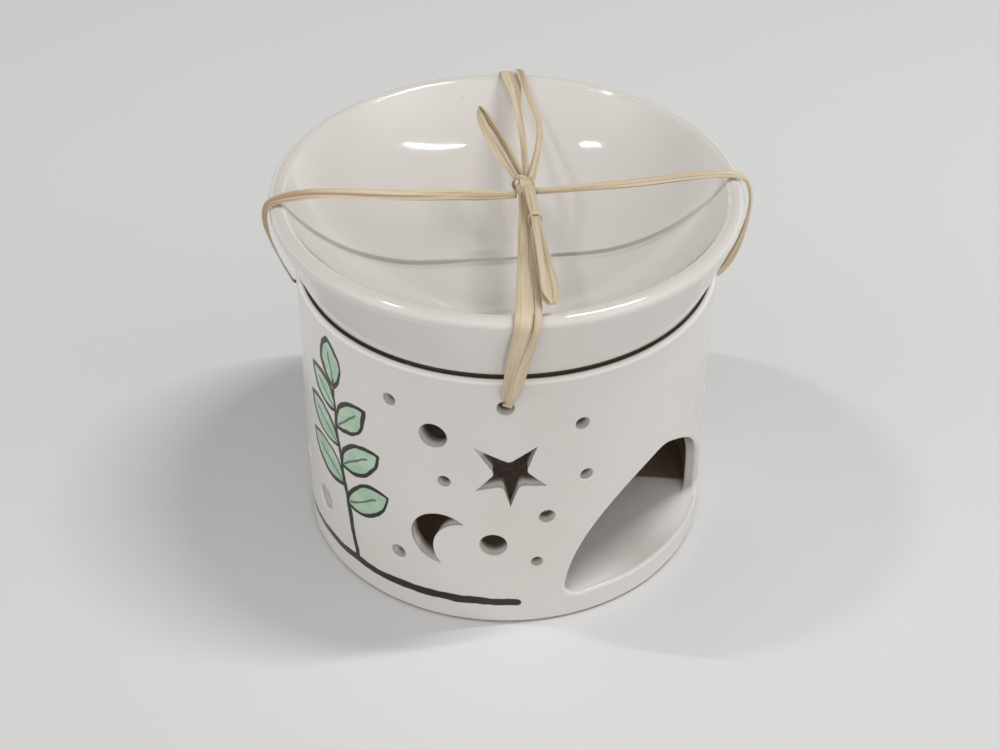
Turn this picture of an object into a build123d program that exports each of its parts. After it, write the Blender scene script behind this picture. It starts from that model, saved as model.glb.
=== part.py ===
from build123d import *

import os
from math import asin, cos, degrees, radians, sin, sqrt, tan

# A ceramic oil burner: a pierced pot with a doorway, a loose bowl, a tea light and a raffia tie.
# Millimetres, +Z up, origin on the ground under the middle of the pot, doorway facing -Y.
# Azimuths are degrees about +Z, 0 at the doorway and growing towards +X.

# Pot; the heights of its pierced holes are laid out on a wall of pattern_h
body_r = 54.5
body_wall = 4.0
body_h = 79.3
pattern_h = 79.3
rim_edge_r = 1.4
foot_ring_w = 8.0
foot_recess = 2.0
foot_edge_r = 1.2
floor_t = 5.5

# Doorway, a pointed arch whose sill is level with the floor
door_half_w = 28.0
door_h = 38.0
door_corner_r = 3.5
door_peak_r = 7.0
door_edge_r = 1.0

# Pierced round holes: azimuth, height and bore, on one side of the doorway
hole_edge_r = 0.5
side_holes = [
    (-80.0, 67.6, 3.5),
    (-64.7, 46.5, 3.3),
    (-78.8, 18.2, 4.0),
    (-28.3, 64.2, 3.5),
    (-26.6, 47.7, 3.3),
    (-37.2, 36.1, 4.0),
    (-39.7, 21.1, 3.0),
    (-67.6, 60.3, 7.2),
    (-51.5, 27.1, 6.9),
    (-109.7, 18.6, 6.8),
    (-125.2, 23.9, 3.5),
]
# Pierced round holes at the back of the pot
back_holes = [
    (158.0, 66.0, 3.5),
    (163.0, 42.0, 3.3),
    (196.5, 61.0, 7.0),
    (168.0, 27.0, 6.9),
    (191.0, 24.0, 3.5),
    (203.0, 43.0, 4.0),
]

# Hand-cut star: each tip's angle from level and its reach, with one tip down
star_places = [(-47.0, 50.5), (47.0, 50.5), (180.0, 52.0)]
star_tips = [(54.0, 11.0), (138.0, 12.4), (212.0, 10.4), (270.0, 10.2), (336.0, 9.9)]
star_notch_r = 4.0
star_notch_round = 1.6

# Crescent: its two horns and the middle of its outer and inner edges, from its centre
crescent_places = [(-66.9, 26.5), (66.9, 26.5)]
crescent_upper_horn = (7.2, 6.6)
crescent_lower_horn = (1.2, -7.6)
crescent_outer_mid = (-6.2, 4.5)
crescent_inner_mid = (-0.8, 0.2)

# Tie holes, one under each strand of raffia
tie_turn = -48.5
tie_hole_count = 4
tie_hole_z = 71.3
tie_hole_d = 4.2

# Bowl: a flared dish whose shoulder stands on the pot's rim and whose spigot drops into its mouth
shoulder_setback = 1.3
spigot_clearance = 0.6
spigot_depth = 3.5
spigot_corner_r = 2.0
bowl_flare = 6.8
bowl_rise = 21.3
lip_t = 4.6
bowl_floor_t = 4.6
dish_floor_r = 20.0
shoulder_cut = 0.8
shoulder_gap = 1.4

# Tea light, a little behind the middle of the pot's floor
light_setback = 15.0
cup_r = 19.0
cup_h = 15.5
cup_wall = 0.5
cup_bead_r = 0.6
wax_level = 12.5
wax_fit = 0.05
wick_d = 1.6
wick_show = 7.0
tab_r = 7.0
tab_t = 0.4
tab_neck_h = 3.0
tab_neck_wall = 0.6

# Raffia
strand_t = 0.8
front_w = 5.6
side_w = 3.2
back_w = 4.0
run_w = 3.4
loop_w = 3.0
lower_loop_w = 5.0
knot_size = (5.6, 6.4, 5.0)
knot_round = 1.2
knot_place = (4.6, -2.6, 101.0)

# Worked out from the sizes above
body_inner_r = body_r - body_wall
floor_top = foot_recess + floor_t
cut_depth = 2 * body_wall
shoulder_r = body_r - shoulder_setback
spigot_r = body_inner_r - spigot_clearance
bowl_r = shoulder_r + bowl_flare
bowl_bottom = body_h - spigot_depth
bowl_floor_top = bowl_bottom + bowl_floor_t
bowl_top = body_h + bowl_rise
lip_r = lip_t / 2
pattern_rise = body_h / pattern_h
wick_hole_r = wick_d / 2 + wax_fit
tie_frame = Plane.XY.rotated((0, 0, tie_turn))

# Bowl profile, radius and height: the round lip touches the flared wall and the dish's hollow curve
shoulder_edge = Vector(shoulder_r, body_h + shoulder_gap)
lip_centre = Vector(bowl_r - lip_r, bowl_top - lip_r)
wall_span = lip_centre - shoulder_edge
wall_run = sqrt(wall_span.length**2 - lip_r**2)
wall_turn = degrees(asin(lip_r / wall_span.length))
lip_outer = shoulder_edge + wall_span.normalized().rotate(Axis.Z, -wall_turn) * wall_run
dish_edge = Vector(dish_floor_r, bowl_floor_top)
dish_span = lip_centre - dish_edge
dish_bend_r = (dish_span.length**2 - lip_r**2) / (2 * (dish_span.Y + lip_r))
dish_centre = dish_edge + Vector(0, dish_bend_r)
lip_inner = dish_centre + (lip_centre - dish_centre).normalized() * dish_bend_r


def wall_plane(azimuth, height):
    """Plane against the pot's outside, its x round the pot and its y up, for a height of the pattern."""
    turn = radians(azimuth)
    out = Vector(sin(turn), -cos(turn), 0)
    place = out * body_r + Vector(0, 0, height * pattern_rise)
    return Plane(place, x_dir=(cos(turn), sin(turn), 0), z_dir=out)


def mirrored_holes(holes):
    """The same holes on the other side of the doorway."""
    return [(-azimuth, height, bore) for azimuth, height, bore in holes]


def star_corners():
    """The star's outline: each tip, then the notch half way round to the next tip."""
    corners = []
    for index, (angle, reach) in enumerate(star_tips):
        next_angle = star_tips[(index + 1) % len(star_tips)][0]
        between = angle + ((next_angle - angle) % 360) / 2
        corners.append(Vector(reach, 0).rotate(Axis.Z, angle))
        corners.append(Vector(star_notch_r, 0).rotate(Axis.Z, between))
    return corners


def bend_radii(points):
    """The largest arc that each corner's two runs leave room for."""
    radii = []
    for before, corner, after in zip(points, points[1:], points[2:]):
        run_in = corner - before
        run_out = after - corner
        half_turn = radians(run_in.get_angle(run_out)) / 2
        radii.append(0.45 * min(run_in.length, run_out.length) / tan(half_turn))
    return radii


def keep(piece, name):
    """Name a finished piece and write it."""
    piece.part.label = name
    export_step(piece.part, f"parts/{name}.step")


def report_tube(name, piece, route, width, radii):
    """Print a strand's radii, its length, and its volume beside its section times that length."""
    length = sum(edge.length for edge in route.edges())
    print(name, "length", round(length, 1), "radii", [round(radius, 1) for radius in radii])
    print(name, "volume", round(piece.part.volume, 1), "of", round(length * width * strand_t, 1))


def raffia_strand(name, places, width, across):
    """A flat strand along straight runs joined by arcs, with its width along one way."""
    points = [tie_frame.from_local_coords(Vector(place)) for place in places]
    radii = bend_radii(points)
    with BuildPart() as strand:
        with BuildLine() as route:
            if radii:
                FilletPolyline(*points, radius=radii)
            else:
                Line(*points)
        width_way = tie_frame.from_local_coords(Vector(across))
        with BuildSketch(Plane(route.line @ 0, x_dir=width_way, z_dir=route.line % 0)):
            Rectangle(width, strand_t)
        sweep(path=route.line)
    report_tube(name, strand, route, width, radii)
    keep(strand, name)


def raffia_loop(name, loop_plane, places, width):
    """One loop of the bow: a strip on edge along an outline in a plane of its own."""
    points = [Vector(*place) for place in places]
    radii = bend_radii(points)
    with BuildPart() as loop:
        with BuildSketch(loop_plane):
            with BuildLine() as outline:
                FilletPolyline(*points, radius=radii)
            trace(line_width=strand_t)
        extrude(amount=width / 2, both=True)
    report_tube(name, loop, outline, width, radii)
    keep(loop, name)


os.makedirs("parts", exist_ok=True)

# Pot: a thrown wall on a foot ring, then the doorway and every pierced hole
with BuildPart() as burner_body:
    with BuildSketch(Plane.XZ) as pot_profile:
        with BuildLine():
            Polyline(
                (0, foot_recess),
                (body_r - foot_ring_w, foot_recess),
                (body_r - foot_ring_w, 0),
                (body_r, 0),
                (body_r, body_h),
                (body_inner_r, body_h),
                (body_inner_r, floor_top),
                (0, floor_top),
                close=True,
            )
        make_face()
        fillet(pot_profile.vertices().group_by(Axis.Y)[-1], rim_edge_r)
        fillet(pot_profile.vertices().group_by(Axis.Y)[0], foot_edge_r)
    revolve(axis=Axis.Z)

    with BuildSketch(Plane.XZ) as doorway:
        with BuildLine():
            Line((0, floor_top), (door_half_w, floor_top))
            TangentArc((door_half_w, floor_top), (0, floor_top + door_h), tangent=(0, 1))
            mirror(about=Plane.YZ)
        make_face()
        fillet(doorway.vertices().sort_by(Axis.X)[0], door_corner_r)
        fillet(doorway.vertices().sort_by(Axis.X)[-1], door_corner_r)
        fillet(doorway.vertices().sort_by(Axis.Y)[-1], door_peak_r)
    extrude(amount=body_r + body_wall, mode=Mode.SUBTRACT)

    for azimuth, height, bore in side_holes + mirrored_holes(side_holes) + back_holes:
        with Locations(wall_plane(azimuth, height)):
            Hole(bore / 2, depth=cut_depth)

    for index in range(tie_hole_count):
        with Locations(wall_plane(tie_turn + index * 360 / tie_hole_count, tie_hole_z)):
            Hole(tie_hole_d / 2, depth=cut_depth)

    outer_wall = burner_body.faces().filter_by(GeomType.CYLINDER).sort_by(SortBy.AREA)[-1]
    door_rim = outer_wall.inner_wires().sort_by(SortBy.LENGTH)[-1]
    hole_rims = outer_wall.inner_wires().sort_by(SortBy.LENGTH)[:-1]
    fillet(door_rim.edges(), door_edge_r)
    fillet(hole_rims.edges(), hole_edge_r)

    for azimuth, height in star_places:
        with BuildSketch(wall_plane(azimuth, height)) as star:
            with BuildLine():
                Polyline(*star_corners(), close=True)
            make_face()
            notches = star.vertices().sort_by_distance((0, 0, 0))[: len(star_tips)]
            fillet(notches, star_notch_round)
        extrude(amount=-cut_depth, mode=Mode.SUBTRACT)

    for azimuth, height in crescent_places:
        with BuildSketch(wall_plane(azimuth, height)) as crescent:
            with BuildLine():
                ThreePointArc(crescent_upper_horn, crescent_outer_mid, crescent_lower_horn)
                ThreePointArc(crescent_lower_horn, crescent_inner_mid, crescent_upper_horn)
            make_face()
            if azimuth > 0:
                mirror(about=Plane.YZ, mode=Mode.REPLACE)
        extrude(amount=-cut_depth, mode=Mode.SUBTRACT)
keep(burner_body, "burner_body")

# Bowl: outside from the bottom up to the lip, over it, then down the dish to the middle
with BuildPart() as oil_bowl:
    with BuildSketch(Plane.XZ) as bowl_profile:
        with BuildLine():
            Polyline(
                (0, bowl_floor_top),
                (0, bowl_bottom),
                (spigot_r, bowl_bottom),
                (spigot_r, body_h),
                (shoulder_r - shoulder_cut, body_h),
                shoulder_edge,
                lip_outer,
            )
            ThreePointArc(lip_outer, (lip_centre.X, bowl_top), lip_inner)
            TangentArc(dish_edge, lip_inner, tangent=(1, 0))
            Line(dish_edge, (0, bowl_floor_top))
        make_face()
        spigot_corner = bowl_profile.vertices().sort_by_distance((spigot_r, bowl_bottom))[0]
        fillet(spigot_corner, spigot_corner_r)
    revolve(axis=Axis.Z)
keep(oil_bowl, "oil_bowl")

# Tea light: a thin cup with a rolled bead, its wax, and a wick held by a tab
cup_floor = floor_top + cup_wall
light_axis = Axis((0, light_setback, 0), (0, 0, 1))
light_section = Plane((0, light_setback, 0), x_dir=(1, 0, 0), z_dir=(0, -1, 0))
light_floor = Plane((0, light_setback, cup_floor))
with BuildPart() as tea_light_cup:
    with BuildSketch(light_section):
        with BuildLine():
            Polyline(
                (0, floor_top),
                (cup_r, floor_top),
                (cup_r, floor_top + cup_h),
                (cup_r - cup_wall, floor_top + cup_h),
                (cup_r - cup_wall, floor_top + cup_wall),
                (0, floor_top + cup_wall),
                close=True,
            )
        make_face()
        with Locations((cup_r, floor_top + cup_h - cup_bead_r)):
            Circle(cup_bead_r)
        with Locations((cup_r - cup_wall - cup_bead_r, floor_top + cup_h - cup_bead_r)):
            Circle(cup_bead_r, mode=Mode.SUBTRACT)
    revolve(axis=light_axis)
keep(tea_light_cup, "tea_light_cup")

with BuildPart() as tea_light_wick_tab:
    with BuildSketch(light_floor):
        Circle(tab_r)
    extrude(amount=tab_t)
    with BuildSketch(light_floor.offset(tab_t)):
        Circle(wick_hole_r + tab_neck_wall)
    extrude(amount=tab_neck_h)
    with Locations((0, light_setback, cup_floor + tab_t + tab_neck_h)):
        Hole(wick_hole_r, depth=tab_t + tab_neck_h)
keep(tea_light_wick_tab, "tea_light_wick_tab")

with BuildPart() as tea_light_wax:
    with BuildSketch(light_floor):
        Circle(cup_r - cup_wall - wax_fit)
    extrude(amount=wax_level)
    with BuildSketch(light_floor):
        Circle(tab_r + wax_fit)
    extrude(amount=tab_t + wax_fit, mode=Mode.SUBTRACT)
    with BuildSketch(light_floor):
        Circle(wick_hole_r + tab_neck_wall + wax_fit)
    extrude(amount=tab_t + tab_neck_h + wax_fit, mode=Mode.SUBTRACT)
    with Locations((0, light_setback, cup_floor + wax_level)):
        Hole(wick_hole_r, depth=wax_level)
keep(tea_light_wax, "tea_light_wax")

with BuildPart() as tea_light_wick:
    with BuildSketch(light_floor):
        Circle(wick_d / 2)
    extrude(amount=wax_level + wick_show)
    chamfer(tea_light_wick.edges().group_by(Axis.Z)[-1], wick_d / 5)
keep(tea_light_wick, "tea_light_wick")

# Raffia: places are in the tie's own frame, x to the right strand and y to the back strand
ACROSS_X = (1, 0, 0)
ACROSS_Y = (0, 1, 0)
front_route = [
    (4.5, -5.5, 100.4),
    (5.0, -59.0, 101.4),
    (4.8, -61.0, 99.4),
    (0.4, -56.2, 73.4),
    (0.0, -55.4, 72.2),
]
back_route = [
    (4.4, 0.3, 100.4),
    (1.4, 59.0, 101.4),
    (1.2, 61.0, 99.4),
    (0.2, 56.2, 73.4),
    (0.0, 55.4, 72.2),
]
back_ply_route = [(6.2, 0.3, 101.8), (8.8, 26.0, 102.7), (3.8, 57.0, 102.6)]
left_route = [
    (2.1, -3.4, 100.2),
    (-47.0, -9.2, 103.0),
    (-58.2, -10.5, 101.8),
    (-60.2, -10.9, 99.2),
    (-56.15, -1.6, 73.4),
    (-55.4, 0.0, 72.2),
]
right_route = [
    (7.1, -2.8, 100.4),
    (50.0, 2.2, 102.0),
    (59.0, 3.2, 101.6),
    (61.6, 3.2, 98.6),
    (61.7, 2.5, 91.0),
    (56.4, 0.5, 73.4),
    (55.4, 0.0, 72.2),
]
front_to_back_route = [(0, -54.8, 71.3), (0, 54.8, 71.3)]
left_to_right_route = [(-54.8, 0, 71.3), (0, 0, 70.0), (54.8, 0, 71.3)]
raffia_strand("raffia_front_strand", front_route, front_w, ACROSS_X)
raffia_strand("raffia_back_strand", back_route, back_w, ACROSS_X)
raffia_strand("raffia_back_ply", back_ply_route, side_w, ACROSS_X)
raffia_strand("raffia_left_strand", left_route, side_w, ACROSS_Y)
raffia_strand("raffia_right_strand", right_route, side_w, ACROSS_Y)
raffia_strand("raffia_run_front_to_back", front_to_back_route, run_w, ACROSS_X)
raffia_strand("raffia_run_left_to_right", left_to_right_route, run_w, ACROSS_Y)

with BuildPart() as raffia_knot:
    with Locations(Plane(tie_frame.from_local_coords(Vector(knot_place)), x_dir=tie_frame.x_dir)):
        Box(*knot_size)
    fillet(raffia_knot.edges(), knot_round)
keep(raffia_knot, "raffia_knot")

# Bow: each loop is drawn in a plane that starts at the knot, with x towards the loop's tip
upper_from = Vector(2.8, -0.2, 102.7)
upper_tip = Vector(-7.0, 25.9, 107.0)
upper_plane = Plane(
    tie_frame.from_local_coords(upper_from),
    x_dir=tie_frame.from_local_coords(upper_tip - upper_from),
    z_dir=tie_frame.from_local_coords(Vector(0.133, -0.116, 0.984)),
)
upper_outline = [
    (0, 0.8),
    (13.0, 2.3),
    (24.0, 2.2),
    (28.2, 0.9),
    (28.2, -0.9),
    (24.0, -1.8),
    (13.0, -2.0),
    (0, -0.8),
]
lower_from = Vector(5.6, -5.4, 102.4)
lower_tip = Vector(10.6, -57.2, 103.7)
lower_plane = Plane(
    tie_frame.from_local_coords(lower_from),
    x_dir=tie_frame.from_local_coords(lower_tip - lower_from),
    z_dir=tie_frame.from_local_coords(Vector(-1, -0.0965, 0)),
)
lower_outline = [
    (0, 0.7),
    (12.0, 0.9),
    (33.0, 2.2),
    (47.5, 1.8),
    (51.5, 0.9),
    (51.5, -0.5),
    (47.5, -0.8),
    (12.0, -0.6),
    (0, -0.7),
]
raffia_loop("raffia_upper_loop", upper_plane, upper_outline, loop_w)
raffia_loop("raffia_lower_loop", lower_plane, lower_outline, lower_loop_w)
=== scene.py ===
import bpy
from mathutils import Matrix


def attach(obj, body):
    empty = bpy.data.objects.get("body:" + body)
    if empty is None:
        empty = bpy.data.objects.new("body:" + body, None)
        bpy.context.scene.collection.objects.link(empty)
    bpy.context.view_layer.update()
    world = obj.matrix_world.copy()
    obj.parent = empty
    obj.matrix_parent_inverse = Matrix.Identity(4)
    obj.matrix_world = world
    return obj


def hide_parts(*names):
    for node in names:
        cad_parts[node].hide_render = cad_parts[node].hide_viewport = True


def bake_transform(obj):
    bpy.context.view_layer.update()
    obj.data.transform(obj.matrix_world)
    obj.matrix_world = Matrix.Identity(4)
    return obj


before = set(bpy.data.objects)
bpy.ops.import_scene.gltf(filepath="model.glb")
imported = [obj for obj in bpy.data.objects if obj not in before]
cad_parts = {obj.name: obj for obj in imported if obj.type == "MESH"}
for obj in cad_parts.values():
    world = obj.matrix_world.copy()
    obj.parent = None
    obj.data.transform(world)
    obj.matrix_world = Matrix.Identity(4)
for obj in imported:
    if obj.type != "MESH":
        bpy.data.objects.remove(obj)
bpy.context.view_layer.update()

import logging
import math
from collections.abc import Callable
from dataclasses import dataclass, field
from enum import Enum
from functools import partial, reduce

import bpy
import numpy as np
from mathutils import Matrix

LOG = logging.getLogger("oil_burner")
MM = 0.001
TIE_TURN = math.radians(-48.5)
STRIP_MAP = "strip"

Stations = tuple[tuple[float, float], ...]
Point = tuple[float, float, float]
Colour = tuple[float, float, float, float]

# Shared by the pot's glaze and the bowl's
SPECK: Colour = (0.30, 0.24, 0.19, 1.0)
CLAY_ROUGHNESS = 0.82
COAT_WEIGHT = 0.55
COAT_ROUGHNESS = 0.025
GLAZE_BUMP = 0.16
GLAZE_DEPTH = 1.1 * MM

# A strip's row spacing, a wrap's, the points of its outline, and the seed step of its drift
STRIP_STEP = 0.5 * MM
WRAP_STEP = 0.35 * MM
STRIP_POINTS = 22
DRIFT_SEED = 40

# Distance from the axis at which a strand's face leans fully outwards
FLAT_REACH = 30.0 * MM


class Body(Enum):
    """The bodies of the part that pieces ride on."""

    BURNER = "burner"
    BOWL = "bowl"
    TEA_LIGHT = "tea_light"


class Slot(Enum):
    """Material slot names for the new pieces; nothing in this script uses them."""

    RAFFIA = "raffia"
    WAX = "wax"
    WICK = "wick"


class Lie(Enum):
    """How a strip of raffia lies between its two ends."""

    TAUT = "taut"
    LOOSE = "loose"


class FarEnd(Enum):
    """What a strip of raffia ends in."""

    KNOT = "knot"
    OBJECT = "object"


def tie_to_part(points_mm: np.ndarray | tuple) -> np.ndarray:
    """Turns points of the tie's frame to the part's frame.

    The tie's frame is the part's frame turned about Z, so that the front strand runs along -Y.

    Args:
        points_mm: Points of the tie's frame in millimetres.

    Returns:
        The same points in the part's frame, in metres, one row each.
    """
    rows = np.asarray(points_mm, dtype=float).reshape(-1, 3) * MM
    c, s = math.cos(TIE_TURN), math.sin(TIE_TURN)
    return rows @ np.array([[c, s, 0.0], [-s, c, 0.0], [0.0, 0.0, 1.0]])


def unit(rows: np.ndarray) -> np.ndarray:
    """Scales each row of an array of vectors to a length of one."""
    return rows / np.maximum(np.linalg.norm(rows, axis=-1, keepdims=True), 1e-12)


def round_angles(count: int) -> np.ndarray:
    """Angles spaced evenly round a circle."""
    return np.linspace(0.0, 2.0 * math.pi, count, endpoint=False)


def flat_map(down: np.ndarray, across: np.ndarray) -> np.ndarray:
    """Joins a map's two coordinates, each spread over all rows and columns."""
    return np.stack(np.broadcast_arrays(down, across), axis=-1)


def along(stations: Stations, share: np.ndarray) -> np.ndarray:
    """Reads a value at each share of a length, in straight lines between its stations."""
    at, value = np.array(stations, dtype=float).T
    return np.interp(share, at, value)


def waver(share: np.ndarray, seed: int, cycles: float) -> np.ndarray:
    """A slow uneven wave between about -1 and 1: three sines of unlike lengths and drawn phases.

    Args:
        share: Where to read the wave, from 0 to 1.
        seed: Draws the phases.
        cycles: How many times the longest sine repeats.

    Returns:
        One height for each share.
    """
    speeds, heights, scale = (1.0, 1.7, 3.1), (1.0, 0.6, 0.35), 1.6
    phases = np.random.default_rng(seed).uniform(0.0, 2.0 * math.pi, len(speeds))
    turns = 2.0 * math.pi * cycles * share
    waves = [h * np.sin(s * turns + p) for s, h, p in zip(speeds, heights, phases)]
    return sum(waves) / scale


def spline_line(route: np.ndarray, steps: int = 48) -> np.ndarray:
    """Reads the smooth line of a route: a NURBS spline with the route's points as control points.

    Args:
        route: The route's points in metres.
        steps: Points read for each run of the spline.

    Returns:
        The points of the line, in order.
    """
    curve = bpy.data.curves.new("route", "CURVE")
    curve.dimensions = "3D"
    curve.resolution_u = steps
    spline = curve.splines.new("NURBS")
    spline.points.add(len(route) - 1)
    spline.points.foreach_set("co", np.column_stack([route, np.ones(len(route))]).ravel())
    spline.order_u = 3
    spline.use_endpoint_u = True
    holder = bpy.data.objects.new("route", curve)
    mesh = bpy.data.meshes.new_from_object(holder)
    line = np.empty(3 * len(mesh.vertices))
    mesh.vertices.foreach_get("co", line)
    bpy.data.objects.remove(holder)
    bpy.data.curves.remove(curve)
    bpy.data.meshes.remove(mesh)
    return line.reshape(-1, 3)


def even_rows(line: np.ndarray, step: float) -> tuple[np.ndarray, np.ndarray, float]:
    """Spaces the points of a line evenly along its length.

    Args:
        line: The points of the line.
        step: The wanted spacing in metres.

    Returns:
        The evenly spaced points, their shares of the length, and the length.
    """
    gone = np.concatenate([[0.0], np.cumsum(np.linalg.norm(np.diff(line, axis=0), axis=1))])
    count = max(8, int(round(gone[-1] / step)))
    share = np.linspace(0.0, 1.0, count + 1)
    rows = np.column_stack([np.interp(share * gone[-1], gone, line[:, k]) for k in range(3)])
    return rows, share, float(gone[-1])


@dataclass
class Patch:
    """A grid of points, closed round its columns and at both ends, with a flat map."""

    points: np.ndarray
    strip: np.ndarray


def patch_arrays(patch: Patch, first: int) -> tuple[np.ndarray, list, np.ndarray]:
    """Works out the vertices, faces and map of one patch.

    The quads join each point to the next column and the next row, and the last column to the
    first. Each end is a fan of triangles to the mean of its row.

    Args:
        patch: The grid; its map has one column more than its points, for the seam.
        first: The index of the patch's first vertex in the mesh.

    Returns:
        The vertices, the faces as lists of indices, and one map point for each face corner.
    """
    rows, cols, _ = patch.points.shape
    i, j = np.meshgrid(np.arange(rows - 1), np.arange(cols), indexing="ij")
    k = (j + 1) % cols
    corners = [(i, j, j), (i, k, j + 1), (i + 1, k, j + 1), (i + 1, j, j)]
    quads = np.stack([first + r * cols + c for r, c, _ in corners], axis=-1).reshape(-1, 4)
    flat = np.stack([patch.strip[r, m] for r, _, m in corners], axis=-2).reshape(-1, 2)
    points = patch.points.reshape(-1, 3)
    faces = quads.tolist()
    ring = np.arange(cols)
    after = (ring + 1) % cols
    for row, swap in ((0, True), (rows - 1, False)):
        centre = np.full(cols, first + len(points))
        points = np.vstack([points, patch.points[row].mean(axis=0)])
        base = first + row * cols
        order = (base + after, base + ring, centre) if swap else (base + ring, base + after, centre)
        faces += np.stack(order, axis=-1).tolist()
        mid = np.broadcast_to(patch.strip[row].mean(axis=0), (cols, 2))
        edge = (patch.strip[row, 1:], patch.strip[row, :-1])
        first_two = edge if swap else edge[::-1]
        flat = np.vstack([flat, np.stack([*first_two, mid], axis=1).reshape(-1, 2)])
    return points, faces, flat


def mesh_piece(name: str, patches: list[Patch], finish: bpy.types.Material) -> bpy.types.Object:
    """Makes one smooth mesh object of several patches.

    Args:
        name: The piece's name.
        patches: The grids that make up the piece.
        finish: The piece's material.

    Returns:
        The new object, at the origin, linked to the scene.
    """
    points, faces, flats, first = [], [], [], 0
    for patch in patches:
        p, f, m = patch_arrays(patch, first)
        points.append(p)
        faces += f
        flats.append(m)
        first += len(p)
    mesh = bpy.data.meshes.new(name)
    mesh.from_pydata(np.vstack(points).tolist(), [], faces)
    layer = mesh.uv_layers.new(name=STRIP_MAP)
    layer.data.foreach_set("uv", np.vstack(flats).ravel())
    mesh.polygons.foreach_set("use_smooth", np.ones(len(mesh.polygons), dtype=bool))
    mesh.materials.append(finish)
    piece = bpy.data.objects.new(name, mesh)
    bpy.context.scene.collection.objects.link(piece)
    LOG.info("%s: %d points, %d faces", name, len(mesh.vertices), len(mesh.polygons))
    return piece


def math_method(operation: str) -> Callable[..., "Value"]:
    """A method that adds a Math node, with the value that it belongs to as the first input.

    Args:
        operation: What the node does.

    Returns:
        The method.
    """

    def method(value: "Value", *others: "Term") -> "Value":
        """Adds the node."""
        return value.graph.math(operation, value, *others)

    return method


class Value:
    """An output of a shader tree that formulas can reckon with."""

    __add__ = math_method("ADD")
    __sub__ = math_method("SUBTRACT")
    __mul__ = math_method("MULTIPLY")
    __truediv__ = math_method("DIVIDE")
    __pow__ = math_method("POWER")
    __abs__ = math_method("ABSOLUTE")
    larger = math_method("MAXIMUM")
    angle_from = math_method("ARCTAN2")
    sine = math_method("SINE")
    cosine = math_method("COSINE")
    root = math_method("SQRT")

    def __init__(self, graph: "Graph", socket: bpy.types.NodeSocket) -> None:
        """Keeps the output and the graph that its formulas go into."""
        self.graph = graph
        self.socket = socket

    def __rsub__(self, other: float) -> "Value":
        """Subtracts this value from a number."""
        return self.graph.math("SUBTRACT", other, self)

    def step(self, low: float, high: float) -> "Value":
        """A smooth step: 0 at low, 1 at high, where low may be the larger.

        Args:
            low: Where the result is 0.
            high: Where the result is 1.

        Returns:
            The stepped value.
        """
        ends = {"Value": self, "From Min": low, "From Max": high}
        if low > high:
            ends |= {"From Min": high, "From Max": low, "To Min": 1.0, "To Max": 0.0}
        return self.graph.value("ShaderNodeMapRange", ends, interpolation_type="SMOOTHSTEP")

    def step_mm(self, low: float, high: float) -> "Value":
        """The same smooth step of a length, with both ends in mm."""
        return self.step(low * MM, high * MM)


Term = Value | float
Values = dict[str, Value]


def hypotenuse(first: Value, second: Value) -> Value:
    """The length of a line from its two square parts."""
    return (first**2.0 + second**2.0).root()


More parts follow.
